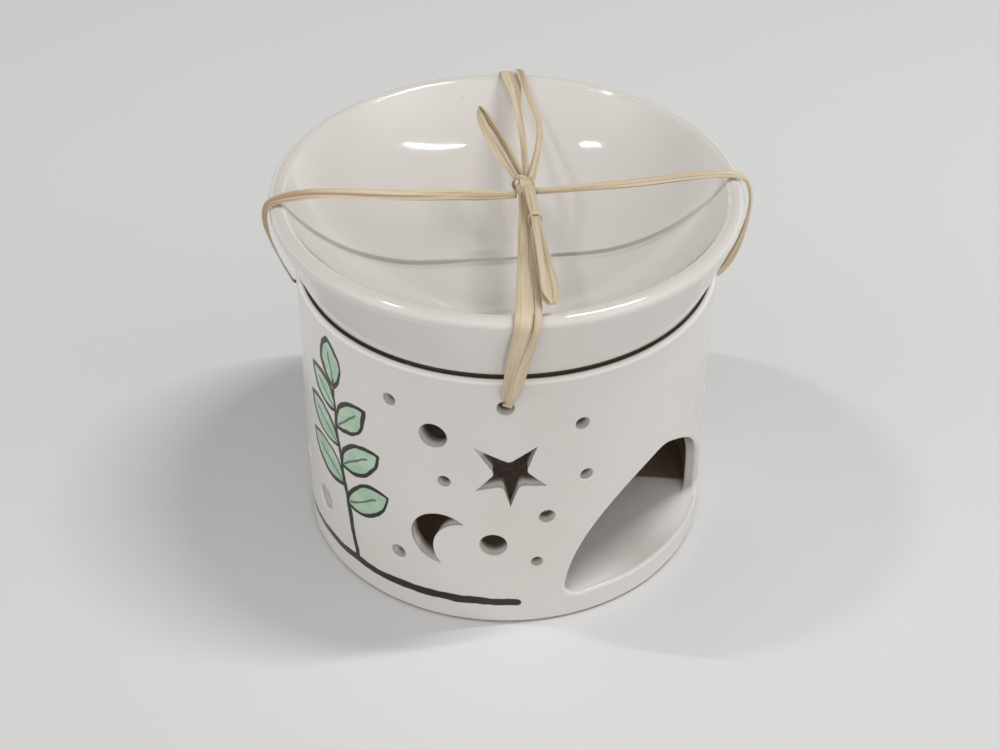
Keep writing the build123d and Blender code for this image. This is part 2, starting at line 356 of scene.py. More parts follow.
class Graph:
    """Adds the nodes of one shader tree and joins them."""

    def __init__(self, tree: bpy.types.NodeTree) -> None:
        """Keeps the tree that the nodes go into."""
        self.tree = tree

    def feed(self, socket: bpy.types.NodeSocket, value: object) -> None:
        """Links a value to a socket, or sets the socket's own value.

        Args:
            socket: The input socket.
            value: A value of this tree, a number, a vector or a colour.
        """
        if isinstance(value, Value):
            self.tree.links.new(value.socket, socket)
        else:
            socket.default_value = value

    def put(self, kind: str, inputs: dict | None = None, **settings: object) -> bpy.types.Node:
        """Adds one node.

        Args:
            kind: The node's type name.
            inputs: Values or numbers for its sockets, by name or index.
            settings: Properties of the node, set before its sockets.

        Returns:
            The new node.
        """
        node = self.tree.nodes.new(kind)
        for name, value in settings.items():
            setattr(node, name, value)
        for key, value in (inputs or {}).items():
            self.feed(node.inputs[key], value)
        return node

    def value(self, kind: str, inputs: dict | None = None, output: int | str = 0,
              **settings: object) -> Value:
        """Adds one node and gives one of its outputs, by name or index."""
        return Value(self, self.put(kind, inputs, **settings).outputs[output])

    def math(self, operation: str, *terms: Term, clamp: bool = False) -> Value:
        """Adds a Math node with its inputs in order, kept between 0 and 1 where clamp is set."""
        settings = {"operation": operation, "use_clamp": clamp}
        return self.value("ShaderNodeMath", dict(enumerate(terms)), **settings)

    def vector(self, operation: str, first: Value, second: Point, output: int | str = 0) -> Value:
        """Adds a Vector Math node."""
        inputs = {0: first, 1: second}
        return self.value("ShaderNodeVectorMath", inputs, output, operation=operation)

    def total(self, operation: str, terms: list[Value]) -> Value:
        """Joins several values pair by pair with one Math operation."""
        return reduce(partial(self.math, operation), terms)

    def place(self) -> Value:
        """The surface point, in the piece's own coordinates."""
        return self.value("ShaderNodeTexCoord", output="Object")

    def strip(self) -> Value:
        """The place on a strip's flat map, in metres."""
        return self.value("ShaderNodeUVMap", uv_map=STRIP_MAP)

    def noise(self, vector: Value, scale: float, detail: float = 2.0) -> Value:
        """Adds a noise texture and gives its value."""
        inputs = {"Vector": vector, "Scale": scale, "Detail": detail}
        return self.value("ShaderNodeTexNoise", inputs)

    def mix(self, share: Term, first: object, second: object) -> Value:
        """Mixes two colours: the first at a share of 0, the second at 1."""
        inputs = {0: share, 6: first, 7: second}
        return self.value("ShaderNodeMix", inputs, 2, data_type="RGBA")

    def blend_value(self, share: Term, first: Term, second: Term) -> Value:
        """Mixes two values: the first at a share of 0, the second at 1."""
        return self.value("ShaderNodeMix", {0: share, 2: first, 3: second})

    def ramp(self, value: Value, stops: list[tuple[float, Colour]]) -> Value:
        """Turns a value into a colour by a ramp.

        Args:
            value: The value, from 0 to 1.
            stops: Pairs of place and colour, in growing order of place.

        Returns:
            The ramp's colour.
        """
        node = self.put("ShaderNodeValToRGB", {0: value})
        elements = node.color_ramp.elements
        while len(elements) < len(stops):
            elements.new(0.5)
        for element, (place, colour) in zip(elements, stops):
            element.position = place
            element.color = colour
        return Value(self, node.outputs[0])

    def split(self, vector: Value) -> tuple[Value, ...]:
        """Gives the X, Y and Z of a vector."""
        outputs = self.put("ShaderNodeSeparateXYZ", {0: vector}).outputs
        return tuple(Value(self, output) for output in outputs)

    def join(self, x: Term, y: Term, z: Term) -> Value:
        """Makes a vector of three values."""
        return self.value("ShaderNodeCombineXYZ", {0: x, 1: y, 2: z})


class EffectGroup:
    """A shader node group with named inputs and outputs, built once for several finishes."""

    def __init__(self, name: str, inputs: dict[str, object], outputs: tuple[str, ...]) -> None:
        """Makes the empty group and its sockets.

        Args:
            name: The group's name.
            inputs: The default value of each input, by name; its kind follows from the value.
            outputs: The name of each output; all are numbers but the one named Colour.
        """
        self.tree = bpy.data.node_groups.new(name, "ShaderNodeTree")
        self.graph = Graph(self.tree)
        kinds = {1: "NodeSocketFloat", 3: "NodeSocketVector", 4: "NodeSocketColor"}
        sockets = self.tree.interface
        for label, value in inputs.items():
            size = len(value) if isinstance(value, tuple) else 1
            socket = sockets.new_socket(label, in_out="INPUT", socket_type=kinds[size])
            socket.default_value = value
        for label in outputs:
            kind = kinds[4 if label == "Colour" else 1]
            sockets.new_socket(label, in_out="OUTPUT", socket_type=kind)
        given = self.graph.put("NodeGroupInput").outputs
        self.inputs = {label: Value(self.graph, given[label]) for label in inputs}
        self.outputs = self.graph.put("NodeGroupOutput").inputs

    def give(self, **values: Value) -> None:
        """Links values to the group's outputs, by name."""
        for label, value in values.items():
            self.graph.feed(self.outputs[label], value)

    def place(self, graph: Graph, inputs: dict[str, object]) -> Values:
        """Puts the group into a finish and gives its outputs by name."""
        outputs = graph.put("ShaderNodeGroup", inputs, node_tree=self.tree).outputs
        return {output.name: Value(graph, output) for output in outputs}


def wall_map_group() -> EffectGroup:
    """A round pot's unrolled wall: the distance round it from the doorway, height and radius.

    Returns:
        The group.
    """
    group = EffectGroup(
        "wall_map",
        {"Position": (0.0, 0.0, 0.0), "Wall Radius": 0.05},
        ("Round", "Height", "Radius"),
    )
    x, y, z = group.graph.split(group.inputs["Position"])
    angle = x.angle_from(y * -1.0)
    group.give(Round=angle * group.inputs["Wall Radius"], Height=z, Radius=hypotenuse(x, y))
    return group


def glaze_group() -> EffectGroup:
    """A white glaze: clouding, rare iron specks, warmth where it is thin, slight waves.

    Returns:
        The group.
    """
    group = EffectGroup(
        "glaze_surface",
        {
            "Position": (0.0, 0.0, 0.0),
            "Body Colour": (0.8, 0.8, 0.8, 1.0),
            "Warm Colour": (0.7, 0.6, 0.5, 1.0),
            "Thin": 0.0,
        },
        ("Colour", "Roughness", "Height"),
    )
    g, i = group.graph, group.inputs
    place = i["Position"]
    cloud = g.noise(place, scale=46.0, detail=3.0).step(0.35, 0.75) * 0.16
    thin = i["Thin"] * (g.noise(place, scale=60.0) * 0.3)
    warmth = g.math("ADD", cloud, thin, clamp=True)
    colour = g.mix(warmth, i["Body Colour"], i["Warm Colour"])
    speck = g.noise(place, scale=1150.0, detail=1.0).step(0.765, 0.80) * 0.45
    broad, fine = g.noise(place, scale=85.0, detail=1.0), g.noise(place, scale=520.0, detail=2.0)
    group.give(
        Colour=g.mix(speck, colour, SPECK),
        Roughness=g.noise(place, scale=130.0) * 0.05 + 0.045,
        Height=broad * 0.8 + fine * 0.07,
    )
    return group


def clay_group() -> EffectGroup:
    """Bare fired clay: a grainy colour between two tones and a gritty height.

    Returns:
        The group.
    """
    group = EffectGroup(
        "bare_clay",
        {
            "Position": (0.0, 0.0, 0.0),
            "Dark Colour": (0.1, 0.06, 0.04, 1.0),
            "Light Colour": (0.2, 0.12, 0.08, 1.0),
        },
        ("Colour", "Height"),
    )
    g, i = group.graph, group.inputs
    grain = g.noise(i["Position"], scale=900.0, detail=4.0)
    cloud = g.noise(i["Position"], scale=60.0, detail=3.0)
    share = ((grain + cloud) * 0.5).step(0.3, 0.7)
    group.give(Colour=g.mix(share, i["Dark Colour"], i["Light Colour"]), Height=grain)
    return group


def leaf_group() -> EffectGroup:
    """A pointed leaf: the overlap of two equal discs, as distances from its edge and its vein.

    Returns:
        The group.
    """
    group = EffectGroup(
        "painted_leaf",
        {
            **dict.fromkeys(("Round", "Height", "Root Round", "Root Height", "Lean"), 0.0),
            "Length": 0.016,
            "Half Width": 0.004,
        },
        ("Edge", "Vein"),
    )
    i = group.inputs
    across, up = i["Round"] - i["Root Round"], i["Height"] - i["Root Height"]
    cos, sin = i["Lean"].cosine(), i["Lean"].sine()
    side = abs(up * cos - across * sin)
    half, half_width = i["Length"] * 0.5, i["Half Width"]
    mid = across * cos + up * sin - half
    disc = (half**2.0 + half_width**2.0) / (half_width * 2.0)
    edge = hypotenuse(mid, side + (disc - half_width)) - disc
    past_tip = (mid - half * 0.45).larger(0.0)
    before_root = ((mid + half) * -1.0).larger(0.0)
    group.give(Edge=edge, Vein=side + (past_tip + before_root))
    return group


def fibre_group() -> EffectGroup:
    """Fibres along a strip: fine lengthwise streaks, broader tone changes, and a ridged height.

    Returns:
        The group.
    """
    group = EffectGroup(
        "strip_fibres",
        {"Strip": (0.0, 0.0, 0.0), "Along": 40.0, "Across": 2600.0},
        ("Tone", "Streak", "Height"),
    )
    g, i = group.graph, group.inputs
    u, v, _ = g.split(i["Strip"])
    long, cross = u * i["Along"], v * i["Across"]
    fine = g.noise(g.join(long, cross, 0.0), scale=1.0, detail=3.0)
    broad = g.noise(g.join(long * 0.6, cross * 0.22, 7.0), scale=1.0, detail=2.0)
    dark = g.noise(g.join(long * 0.35, cross * 0.5, 3.0), scale=1.0, detail=1.0)
    group.give(
        Tone=fine * 0.5 + broad * 0.5, Streak=dark.step(0.62, 0.74), Height=fine + broad * 0.6
    )
    return group


def metal_group() -> EffectGroup:
    """Thin drawn metal: lines up the wall, handling marks, and an uneven sheen.

    Returns:
        The group.
    """
    group = EffectGroup(
        "drawn_metal",
        {"Position": (0.0, 0.0, 0.0), "Lines": 120.0, "Dullness": 0.3},
        ("Tone", "Roughness", "Height"),
    )
    g, i = group.graph, group.inputs
    x, y, z = g.split(i["Position"])
    around = x.angle_from(y) * i["Lines"]
    lines = g.noise(g.join(around, 0.0, z * 90.0), scale=1.0, detail=2.0)
    marks = g.noise(i["Position"], scale=420.0, detail=4.0)
    rough = i["Dullness"] + (marks - 0.5) * 0.35
    group.give(
        Tone=lines * 0.4 + marks * 0.6,
        Roughness=rough.larger(0.08),
        Height=lines + marks * 0.25,
    )
    return group


@dataclass
class Effects:
    """The shared node groups, each built once."""

    wall_map: EffectGroup = field(default_factory=wall_map_group)
    glaze: EffectGroup = field(default_factory=glaze_group)
    clay: EffectGroup = field(default_factory=clay_group)
    leaf: EffectGroup = field(default_factory=leaf_group)
    fibres: EffectGroup = field(default_factory=fibre_group)
    metal: EffectGroup = field(default_factory=metal_group)


class Skin:
    """A new material: its Principled shader and the graph that feeds it."""

    def __init__(self, name: str) -> None:
        """Makes the material.

        Args:
            name: The material's name.
        """
        self.material = bpy.data.materials.new(name)
        self.material.use_nodes = True
        self.graph = Graph(self.material.node_tree)
        self.shader = self.material.node_tree.nodes["Principled BSDF"]

    def dress(self, inputs: dict[str, object], height: Value | None = None, bump: float = 0.0,
              depth: float = 0.0) -> bpy.types.Material:
        """Feeds the shader's sockets, and its normal through a Bump node.

        Args:
            inputs: Values, numbers or colours for the sockets, by name.
            height: The relief, where there is any.
            bump: The relief's strength.
            depth: The relief's depth in metres.

        Returns:
            The material.
        """
        if height is not None:
            relief = {"Height": height, "Strength": bump, "Distance": depth}
            inputs = inputs | {"Normal": self.graph.value("ShaderNodeBump", relief)}
        for name, value in inputs.items():
            self.graph.feed(self.shader.inputs[name], value)
        return self.material

    def fire(self, colour: Value, glaze: Values, clay: Values, bare: Value,
             dull: Value) -> bpy.types.Material:
        """Joins a glaze and bare clay in the shader.

        Args:
            colour: The colour all over.
            glaze: The outputs of the glaze's node group.
            clay: The outputs of the clay's node group.
            bare: 1 where the clay is bare.
            dull: 1 where there is no clear coat.

        Returns:
            The material.
        """
        g = self.graph
        sockets = {
            "Base Color": colour,
            "Roughness": g.blend_value(bare, glaze["Roughness"], CLAY_ROUGHNESS),
            "Coat Weight": (1.0 - dull) * COAT_WEIGHT,
            "Coat Roughness": COAT_ROUGHNESS,
        }
        height = g.blend_value(bare, glaze["Height"], clay["Height"])
        return self.dress(sockets, height, GLAZE_BUMP, GLAZE_DEPTH)


@dataclass(frozen=True)
class Leaf:
    """One painted leaf: its root on the stem, the way it leans, and its size, in mm and degrees."""

    height: float
    lean: float
    length: float
    half_width: float


@dataclass(frozen=True)
class SprigPainting:
    """A hand-painted sprig on the pot's wall over a plain stripe at its foot, in mm on the wall."""

    stem_root: float = -89.0
    stem_sway: float = 7.0
    stem_low: float = 8.0
    stem_high: float = 63.0
    stem_half_width: float = 0.95
    stem_taper: float = 0.45
    outline: float = 0.75
    stripe_height: float = 7.4
    stripe_start: float = -122.0
    stripe_end: float = -43.0
    stripe_half_width: float = 1.15
    shake_round: float = 2.2
    shake_height: float = 2.0
    leaves: tuple[Leaf, ...] = (
        Leaf(25.5, 33.0, 17.5, 4.4),
        Leaf(31.0, 150.0, 18.0, 4.5),
        Leaf(37.5, 36.0, 17.0, 4.2),
        Leaf(43.0, 147.0, 16.5, 4.2),
        Leaf(49.5, 42.0, 15.0, 3.8),
        Leaf(54.0, 140.0, 14.0, 3.7),
        Leaf(61.0, 98.0, 14.5, 4.0),
    )
    green: Colour = (0.33, 0.51, 0.34, 1.0)
    pale_green: Colour = (0.46, 0.62, 0.46, 1.0)
    charcoal: Colour = (0.008, 0.008, 0.010, 1.0)

    def stem_round(self, height: float) -> float:
        """The stem's place round the wall at a height: a quarter sine from its root, in mm."""
        share = (height - self.stem_low) / (self.stem_high - self.stem_low)
        return self.stem_root - self.stem_sway * math.sin(0.5 * math.pi * share)

    def stem(self, around: Value, height: Value) -> Value:
        """The stem's mask: a line about a quarter sine, finer towards its top, cut at both ends.

        Args:
            around: Distance round the wall from the doorway, in metres.
            height: Height in metres.

        Returns:
            1 on the stem.
        """
        rise = (height - self.stem_low * MM) / ((self.stem_high - self.stem_low) * MM)
        sway = (rise * (0.5 * math.pi)).sine() * (self.stem_sway * MM)
        off = abs(around - self.stem_root * MM + sway) + rise * (self.stem_taper * MM)
        line = off.step_mm(self.stem_half_width + 0.2, self.stem_half_width - 0.2)
        return line * (rise.step(-0.03, 0.0) * rise.step(1.03, 1.0))

    def stripe(self, around: Value, height: Value, press: Value) -> Value:
        """The stripe's mask: a line at one height with round ends.

        Args:
            around: Distance round the wall from the doorway, in metres.
            height: Height in metres.
            press: How much the brush's pressure thins the line, in metres.

        Returns:
            1 on the stripe.
        """
        middle = 0.5 * (self.stripe_start + self.stripe_end) * MM
        half = 0.5 * (self.stripe_end - self.stripe_start) * MM
        past = (abs(around - middle) - half).larger(0.0)
        away = hypotenuse(height - self.stripe_height * MM, past) + press
        return away.step_mm(self.stripe_half_width + 0.55, self.stripe_half_width + 0.15)

    def paint(self, g: Graph, effects: Effects, wall: Values, place: Value) -> tuple[Value, ...]:
        """Works out where the paint lies.

        A leaf is filled inside its edge and lined on it. A noise shifts leaves, stem and stripe a
        little, as a brush does.

        Args:
            g: The finish's graph.
            effects: The shared node groups.
            wall: The outputs of the wall map.
            place: The surface point.

        Returns:
            The fill mask, the line mask and the fill colour.
        """
        around = wall["Round"] + (g.noise(place, scale=150.0) - 0.5) * (self.shake_round * MM)
        height = wall["Height"] + (g.noise(place, scale=110.0) - 0.5) * (self.shake_height * MM)
        placed = [
            effects.leaf.place(
                g,
                {
                    "Round": around,
                    "Height": height,
                    "Root Round": self.stem_round(leaf.height) * MM,
                    "Root Height": leaf.height * MM,
                    "Lean": math.radians(leaf.lean),
                    "Length": leaf.length * MM,
                    "Half Width": leaf.half_width * MM,
                },
            )
            for leaf in self.leaves
        ]
        edge = g.total("MINIMUM", [leaf["Edge"] for leaf in placed])
        vein = g.total("MINIMUM", [leaf["Vein"] for leaf in placed])
        outline = abs(edge) + g.noise(place, scale=90.0, detail=1.0) * (0.9 * MM)
        lines = [
            outline.step_mm(self.outline + 0.45, self.outline + 0.15),
            vein.step_mm(0.42, 0.20) * edge.step_mm(-0.4, -0.9) * 0.75,
            self.stem(around, height),
            self.stripe(around, height, g.noise(place, scale=60.0, detail=1.0) * (0.7 * MM)),
        ]
        wash = g.noise(place, scale=210.0, detail=3.0).step(0.35, 0.68)
        fill = edge.step_mm(0.22, -0.22)
        return fill, g.total("MAXIMUM", lines), g.mix(wash, self.green, self.pale_green)


@dataclass(frozen=True)
class PotGlaze:
    """The pot's finish: white glaze with a painted sprig, bare brown clay inside, on seat and foot.

    The brown inside is dark enough to be painted shade as well, and the seat under the bowl is
    darkened further as painted shade in the seam. The glaze runs in over the sill as far as a brush
    reaches, darker at the sill's front edge and paler deeper in: heavier glaze there, and painted
    light that evens out the shade inside. The rim's edge and the mouths of the holes are paler as
    well, heavier glaze with a painted highlight, and deeper in the holes the cut faces are painted
    dark as shade. An oval round the doorway keeps its jambs white. Lengths are in mm.
    """

    white: Colour = (0.70, 0.665, 0.63, 1.0)
    warm: Colour = (0.61, 0.54, 0.45, 1.0)
    # Heavier glaze, paler as painted light on the sill, the rim's edge and the cut faces
    heavy_glaze_and_painted_light: Colour = (0.90, 0.862, 0.818, 1.0)
    # The sill's front edge, painted darker where more light falls on it
    sill_edge: Colour = (0.68, 0.637, 0.592, 1.0)
    hole_shade: Colour = (0.20, 0.155, 0.120, 1.0)
    # Brown bare clay, dark enough to be painted shade inside the pot as well
    clay_and_shade_dark: Colour = (0.22, 0.147, 0.105, 1.0)
    clay_and_shade_light: Colour = (0.33, 0.236, 0.172, 1.0)
    # Painted shade for the seam under the bowl's shoulder
    seat_shade: Colour = (0.075, 0.052, 0.040, 1.0)
    door_half_round: float = 33.0
    door_rise: float = 40.0
    sill_centre: Point = (0.0, -54.5, 7.5)
    sill_reach: float = 33.0
    sill_waver: float = 12.0
    recess_height: float = 2.2
    wall_radius: float = 54.5
    inner_radius: float = 50.5
    floor_height: float = 7.5
    rim_height: float = 79.3
    seat_radius: float = 53.2
    foot_height: float = 0.5

    def build(self, effects: Effects, painting: SprigPainting) -> bpy.types.Material:
        """Makes the material.

        Args:
            effects: The shared node groups.
            painting: The painted sprig.

        Returns:
            The material.
        """
        skin = Skin("pot_glaze_painted")
        g, place = skin.graph, skin.graph.place()
        wall_radius = {"Wall Radius": self.wall_radius * MM}
        wall = effects.wall_map.place(g, {"Position": place} | wall_radius)
        around, height, radius = wall["Round"], wall["Height"], wall["Radius"]
        outer, inner, rim_top = self.wall_radius, self.inner_radius, self.rim_height
        whites = {"Body Colour": self.white, "Warm Colour": self.warm}
        glaze = effects.glaze.place(g, {"Position": place} | whites)
        browns = {"Dark Colour": self.clay_and_shade_dark, "Light Colour": self.clay_and_shade_light}
        clay = effects.clay.place(g, {"Position": place} | browns)

        # Paint, on the outer face alone
        outside = radius.step_mm(outer - 1.2, outer - 0.6)
        fill, line, wash = painting.paint(g, effects, wall, place)
        line = line * outside
        colour = g.mix(fill * outside, glaze["Colour"], wash)
        colour = g.mix(line, colour, painting.charcoal)

        # Paler glaze on cut faces, sill and rim, heavier glaze with painted light; painted shade
        # deeper in the holes
        sill = tuple(value * MM for value in self.sill_centre)
        waver = (g.noise(place, scale=55.0) - 0.5) * (self.sill_waver * MM)
        reach = g.vector("DISTANCE", place, sill, "Value") + waver
        below_rim = height.step_mm(rim_top - 3.0, rim_top - 4.0)
        cut = radius.step_mm(outer - 0.7, outer - 1.3) * below_rim
        # Painted highlight along the rim's outer edge
        rim = height.step_mm(rim_top - 1.3, rim_top - 0.5)
        rim = rim * radius.step_mm(self.seat_radius, self.seat_radius + 0.3)
        # Painted light on the sill: darker at its front edge, paler deeper in where less light
        # reaches
        heavy_glaze_and_painted_light = g.mix(reach.step_mm(3.0, 19.0), self.sill_edge, self.heavy_glaze_and_painted_light)
        colour = g.mix(cut.larger(rim), colour, heavy_glaze_and_painted_light)
        # Painted shade: the holes' cut faces darken deeper in, outside the doorway's oval
        wide = around / (self.door_half_round * MM)
        tall = (height - self.floor_height * MM) / (self.door_rise * MM)
        bored = cut * (wide**2.0 + tall**2.0).step(1.0, 1.1)
        depth = radius.step_mm(outer - 1.5, inner + 0.1)
        colour = g.mix(bored * depth, colour, self.hole_shade)

        # Bare clay inside, under the foot and on the bowl's seat; its dark brown inside and on the
        # seat is partly painted shade
        hollow = radius.step_mm(inner + 0.5, inner + 0.1)
        above = height.step_mm(self.floor_height + 0.4, self.floor_height + 1.6)
        deep = reach.step_mm(self.sill_reach - 2.5, self.sill_reach + 2.5)
        seat = height.step_mm(rim_top - 0.25, rim_top - 0.1)
        seat = seat * radius.step_mm(self.seat_radius + 0.2, self.seat_radius - 0.2)
        foot = height.step_mm(self.foot_height + 0.3, self.foot_height)
        recess = hollow * height.step_mm(self.recess_height + 1.0, self.recess_height)
        inside = hollow * above.larger(deep)
        bare = g.total("MAXIMUM", [inside, foot, seat, recess])
        colour = g.mix(bare, colour, clay["Colour"])
        # Painted shade in the seam under the bowl, mottled like a fired stain
        seat_shade_mottle = seat * g.noise(place, scale=320.0, detail=3.0).step(0.2, 0.42)
        colour = g.mix(seat_shade_mottle, colour, self.seat_shade)
        return skin.fire(colour, glaze, clay, bare, bare.larger(line))


@dataclass(frozen=True)
class BowlGlaze:
    """The bowl's finish: the same glaze, thin on the lip, bare clay under its shoulder dark as
    painted shade, in mm.
    """

    white: Colour = (0.685, 0.655, 0.615, 1.0)
    warm: Colour = (0.61, 0.54, 0.45, 1.0)
    # Near-black bare clay: painted shade in the seam between bowl and pot
    clay_and_shade_dark: Colour = (0.050, 0.035, 0.027, 1.0)
    clay_and_shade_light: Colour = (0.10, 0.070, 0.052, 1.0)
    lip_height: float = 100.6
    under_height: float = 80.1
    shoulder_height: float = 80.75
    shoulder_inside: float = 48.0

    def build(self, effects: Effects) -> bpy.types.Material:
        """Makes the material.

        Args:
            effects: The shared node groups.

        Returns:
            The material.
        """
        skin = Skin("bowl_glaze_white")
        g, place = skin.graph, skin.graph.place()
        wall = effects.wall_map.place(g, {"Position": place})
        height, radius = wall["Height"], wall["Radius"]
        thin = height.step_mm(self.lip_height - 1.1, self.lip_height)
        whites = {"Body Colour": self.white, "Warm Colour": self.warm, "Thin": thin}
        glaze = effects.glaze.place(g, {"Position": place} | whites)
        browns = {"Dark Colour": self.clay_and_shade_dark, "Light Colour": self.clay_and_shade_light}
        clay = effects.clay.place(g, {"Position": place} | browns)
        # Painted shade: dark bare clay under the shoulder and below it
        under = height.step_mm(self.under_height, self.under_height - 0.2)
        shoulder = height.step_mm(self.shoulder_height, self.shoulder_height - 0.2)
        beyond = radius.step_mm(self.shoulder_inside - 0.2, self.shoulder_inside + 0.2)
        bare = under.larger(shoulder * beyond)
        colour = g.mix(bare, glaze["Colour"], clay["Colour"])
        return skin.fire(colour, glaze, clay, bare, bare)


@dataclass(frozen=True)
class RaffiaFinish:
    """Dry raffia: straw tones streaked along the strip, with darker lines and a soft sheen."""

    dark: Colour = (0.27, 0.175, 0.10, 1.0)
    straw: Colour = (0.56, 0.45, 0.30, 1.0)
    pale: Colour = (0.70, 0.61, 0.455, 1.0)
    glow_depths: Point = (0.6 * MM, 0.4 * MM, 0.2 * MM)

    def build(self, effects: Effects) -> bpy.types.Material:
        """Makes the material.

        Args:
            effects: The shared node groups.

        Returns:
            The material.
        """
        skin = Skin("raffia_straw")
        g = skin.graph
        fibre = effects.fibres.place(g, {"Strip": g.strip(), "Along": 45.0, "Across": 2600.0})
        tone = g.ramp(fibre["Tone"], [(0.30, self.dark), (0.46, self.straw), (0.66, self.pale)])
        sockets = {
            "Base Color": g.mix(fibre["Streak"] * 0.75, tone, self.dark),
            "Roughness": fibre["Tone"] * 0.28 + 0.42,
            "Specular IOR Level": 0.4,
            "Subsurface Weight": 0.12,
            "Subsurface Radius": self.glow_depths,
            "Subsurface Scale": 1.0,
        }
        return skin.dress(sockets, fibre["Height"], bump=0.55, depth=0.3 * MM)


@dataclass(frozen=True)
class MetalFinish:
    """Thin drawn metal, aluminium or steel, with its lines about the tea light's axis, in m."""

    name: str
    bright: Colour
    dull: Colour
    lines: float
    dullness: float
    axis: Point = (0.0, 0.015, 0.0)

    def build(self, effects: Effects) -> bpy.types.Material:
        """Makes the material.

        Args:
            effects: The shared node groups.

        Returns:
            The material.
        """
        skin = Skin(self.name)
        g = skin.graph
        place = g.vector("SUBTRACT", g.place(), self.axis)
        inputs = {"Position": place, "Lines": self.lines, "Dullness": self.dullness}
        metal = effects.metal.place(g, inputs)
        sockets = {
            "Base Color": g.mix(metal["Tone"], self.dull, self.bright),
            "Roughness": metal["Roughness"],
            "Metallic": 1.0,
        }
        return skin.dress(sockets, metal["Height"], bump=0.25, depth=0.3 * MM)


@dataclass(frozen=True)
class WaxFinish:
    """White candle wax: a cloudy, slightly waxy surface with a fine crystal bloom."""

    body: Colour = (0.83, 0.81, 0.75, 1.0)
    bloom: Colour = (0.90, 0.885, 0.85, 1.0)
    glow_depths: Point = (2.0 * MM, 1.6 * MM, 1.2 * MM)

    def build(self) -> bpy.types.Material:
        """Makes the material.

        Returns:
            The material.
        """
        skin = Skin("candle_wax")
        g = skin.graph
        cloud = g.noise(g.place(), scale=240.0, detail=5.0)
        sockets = {
            "Base Color": g.mix(cloud.step(0.35, 0.65), self.body, self.bloom),
            "Roughness": cloud * 0.3 + 0.34,
            "Subsurface Weight": 0.3,
            "Subsurface Radius": self.glow_depths,
            "Subsurface Scale": 1.0,
        }
        return skin.dress(sockets, cloud, bump=0.2, depth=0.6 * MM)


@dataclass(frozen=True)
class CottonFinish:
    """A plaited cotton wick, stiff with wax."""

    dark: Colour = (0.50, 0.46, 0.38, 1.0)
    pale: Colour = (0.82, 0.79, 0.71, 1.0)

    def build(self, effects: Effects) -> bpy.types.Material:
        """Makes the material.

        Args:
            effects: The shared node groups.

        Returns:
            The material.
        """
        skin = Skin("wick_cotton")
        g = skin.graph
        fibre = effects.fibres.place(g, {"Strip": g.strip(), "Along": 260.0, "Across": 5200.0})
        sockets = {
            "Base Color": g.mix(fibre["Tone"], self.dark, self.pale),
            "Roughness": fibre["Tone"] * 0.3 + 0.55,
        }
        return skin.dress(sockets, fibre["Height"], bump=0.5, depth=0.2 * MM)


@dataclass(frozen=True)
class FloorFinish:
    """The pale plain floor that the burner stands on."""

    low: Colour = (0.70, 0.70, 0.695, 1.0)
    high: Colour = (0.74, 0.74, 0.735, 1.0)

    def build(self) -> bpy.types.Material:
        """Makes the material.

        Returns:
            The material.
        """
        skin = Skin("pale_floor")
        g = skin.graph
        colour = g.mix(g.noise(g.place(), scale=3.0), self.low, self.high)
        return skin.dress({"Base Color": colour, "Roughness": 0.9, "Specular IOR Level": 0.1})


@dataclass(frozen=True)
class Ply:
    """One flat strip that follows a line. Stations are shares of the length with mm or degrees."""

    width: Stations
    side: Stations = ((0.0, 0.0), (1.0, 0.0))
    lift: Stations = ((0.0, 0.0), (1.0, 0.0))
    twist: Stations = ((0.0, 0.0), (1.0, 0.0))
    thickness: float = 0.32
    curl: float = 0.15
    crease: float = 0.06
    creases: float = 1.6
    uneven: float = 0.07
    uneven_cycles: float = 2.2
    drift: float = 1.3
    drift_cycles: float = 1.1
    fullness: float = 0.8
    map_shift: float = 0.37
    seed: int = 1

    def surface(self, line: np.ndarray, flat: np.ndarray, faces_up: bool,
                step: float = STRIP_STEP) -> Patch:
        """The strip's closed surface.

        At each point of the line the strip has a width direction and a face direction. Its
        outline there is a long flat oval, bent by a parabola towards its edges and by a wave of
        creases that drifts along the strip; an uneven wave widens and narrows it.

        Args:
            line: The points that the strip follows.
            flat: For each point of the line, or one for all, the direction the strip's face looks
                in, or its width direction.
            faces_up: True where flat is the face direction, False where it is the width direction.
            step: Spacing of the rows in metres.

        Returns:
            The strip as a patch.
        """
        rows, share, length = even_rows(line, step)
        tangent = unit(np.gradient(rows, axis=0))
        if flat.ndim == 1:
            flat = np.broadcast_to(flat, rows.shape)
        else:
            at = np.linspace(0.0, 1.0, len(flat))
            flat = np.column_stack([np.interp(share, at, flat[:, k]) for k in range(3)])
        across = unit(flat - np.sum(flat * tangent, axis=1, keepdims=True) * tangent)
        other = np.cross(tangent, across)
        width_dir, face_dir = (-other, across) if faces_up else (across, other)
        turn = np.radians(along(self.twist, share))[:, None]
        wide = np.cos(turn) * width_dir + np.sin(turn) * face_dir
        face = np.cos(turn) * face_dir - np.sin(turn) * width_dir
        rows = rows + wide * along(self.side, share)[:, None] * MM
        rows = rows + face * along(self.lift, share)[:, None] * MM
        theta = round_angles(STRIP_POINTS)
        swell = 1.0 + self.uneven * waver(share, self.seed, self.uneven_cycles)
        half = 0.5 * along(self.width, share) * swell * MM
        v = np.sign(np.cos(theta)) * np.abs(np.cos(theta)) ** self.fullness
        bend = (1.0 / 3.0 - v**2) * self.curl
        drift = self.drift * waver(share, self.seed + DRIFT_SEED, self.drift_cycles)[:, None]
        ridges = self.crease * np.cos(2.0 * (math.pi * self.creases * v[None, :] + drift))
        rise = (bend[None, :] + ridges + 0.5 * self.thickness * np.sin(theta)[None, :]) * MM
        points = rows[:, None, :] + (half[:, None] * v)[:, :, None] * wide[:, None, :]
        points = points + rise[:, :, None] * face[:, None, :]
        girth = np.linspace(0.0, 4.0 * float(np.mean(half)), STRIP_POINTS + 1)
        run = (share * length + self.map_shift * self.seed)[:, None]
        return Patch(points, flat_map(run, girth))


